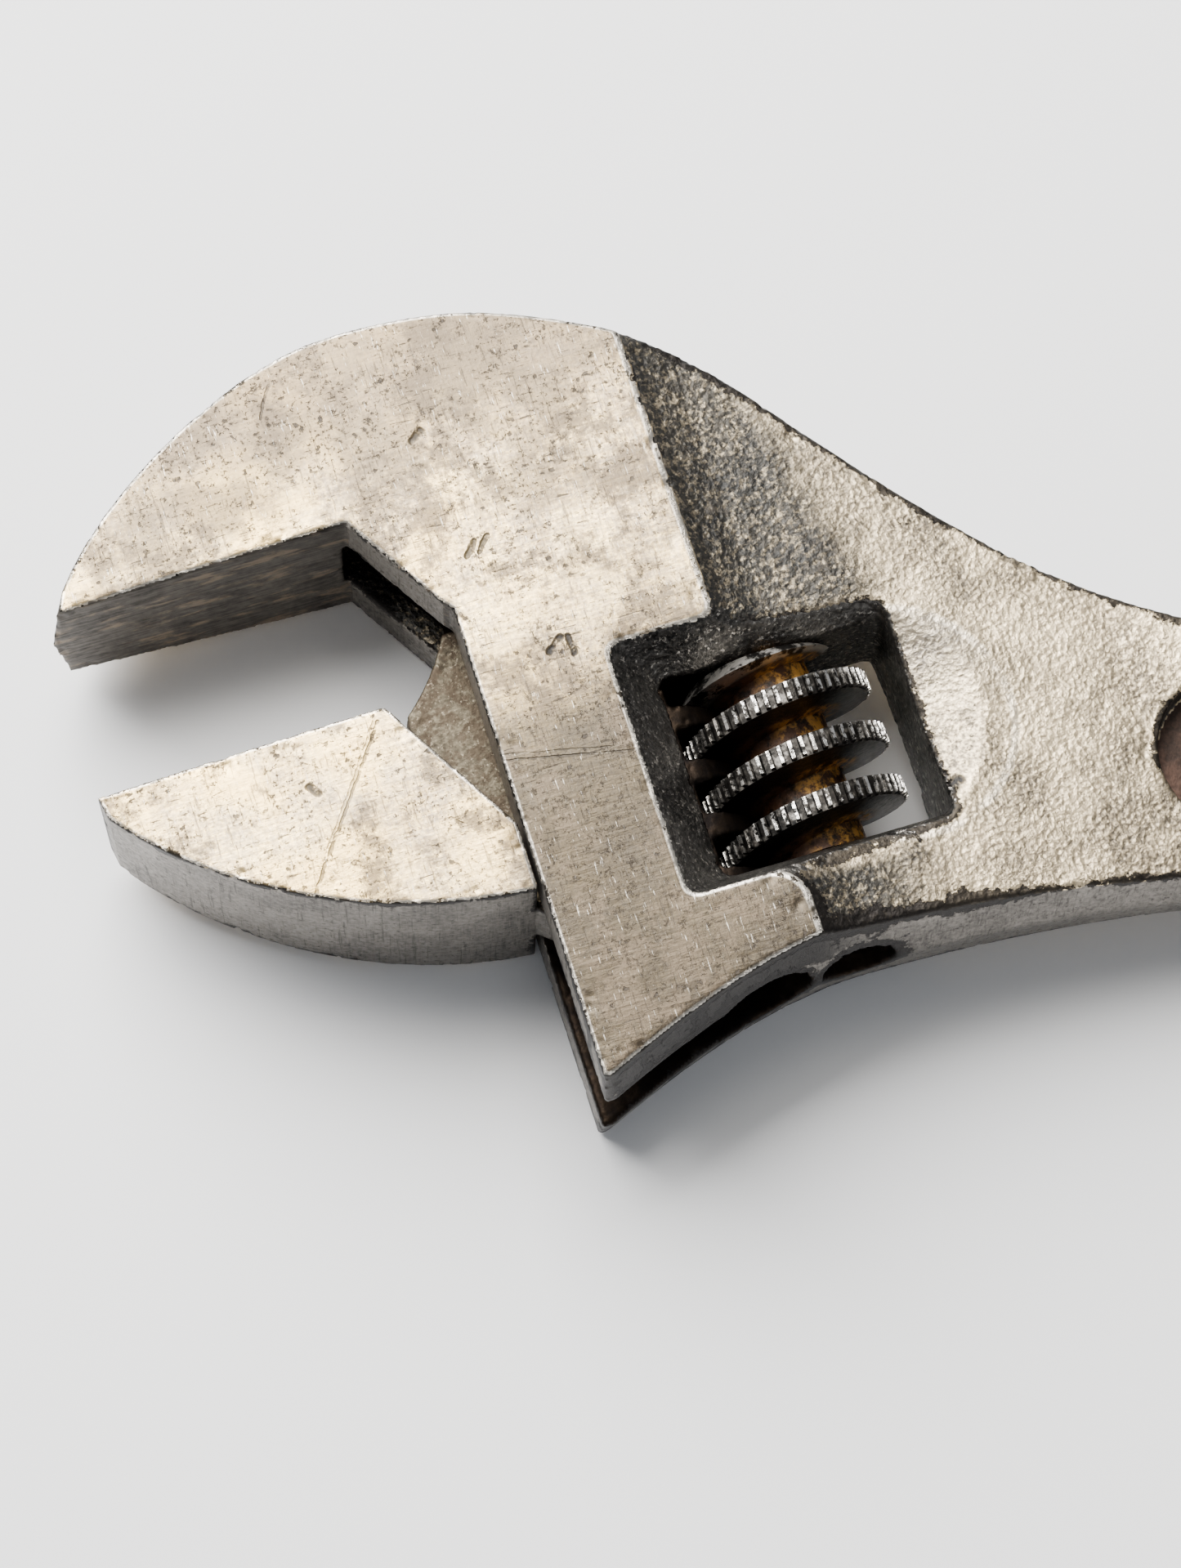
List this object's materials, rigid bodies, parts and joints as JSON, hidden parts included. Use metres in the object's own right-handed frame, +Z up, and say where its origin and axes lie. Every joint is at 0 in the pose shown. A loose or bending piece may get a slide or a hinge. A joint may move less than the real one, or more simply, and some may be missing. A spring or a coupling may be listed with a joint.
{
  "type": "adjustable wrench",
  "caption": "Forged adjustable wrench with a jaw that slides on a rack, moved by a knurled worm on a pin, with a sunk-panel handle and hanging hole.",
  "frame": {"origin": "middle of the wrench's length and width, on the face that it lies on", "axes": "+X along the handle towards its free end, +Z up through the thickness, jaws at the -X end opening towards -Y"},
  "size_m": [0.2056, 0.0554, 0.0155],
  "materials": {
    "wrench_body": "worn, ground faces with a satin forged neck",
    "movable_jaw": "worn, ground faces",
    "worm_knurl": "oil-darkened, bright worn knurl",
    "worm_pin": "darkened screw",
    "worm_spring": "drawn wire"
  },
  "bodies": {
    "frame": {"wrench_body": "wrench_body", "worm_pin": "worm_pin", "worm_spring": "worm_spring"},
    "jaw": {"movable_jaw": "movable_jaw"},
    "worm": {"worm_knurl": "worm_knurl"}
  },
  "joints": [
    {"name": "jaw_slide", "type": "slide", "parent": "frame", "child": "jaw", "axis": [0.3827, -0.9239, 0], "range_m": [-0.0131, 0.012]},
    {"name": "worm_spin", "type": "hinge", "parent": "frame", "child": "worm", "pos_m": [-0.05135, -0.00202, 0.00775], "axis": [-0.3827, 0.9239, 0], "range_deg": [-1185, 1085]}
  ],
  "couplings": [
    {"joint": "worm_spin", "follows": "jaw_slide", "rad_per_m": 1570.8}
  ]
}
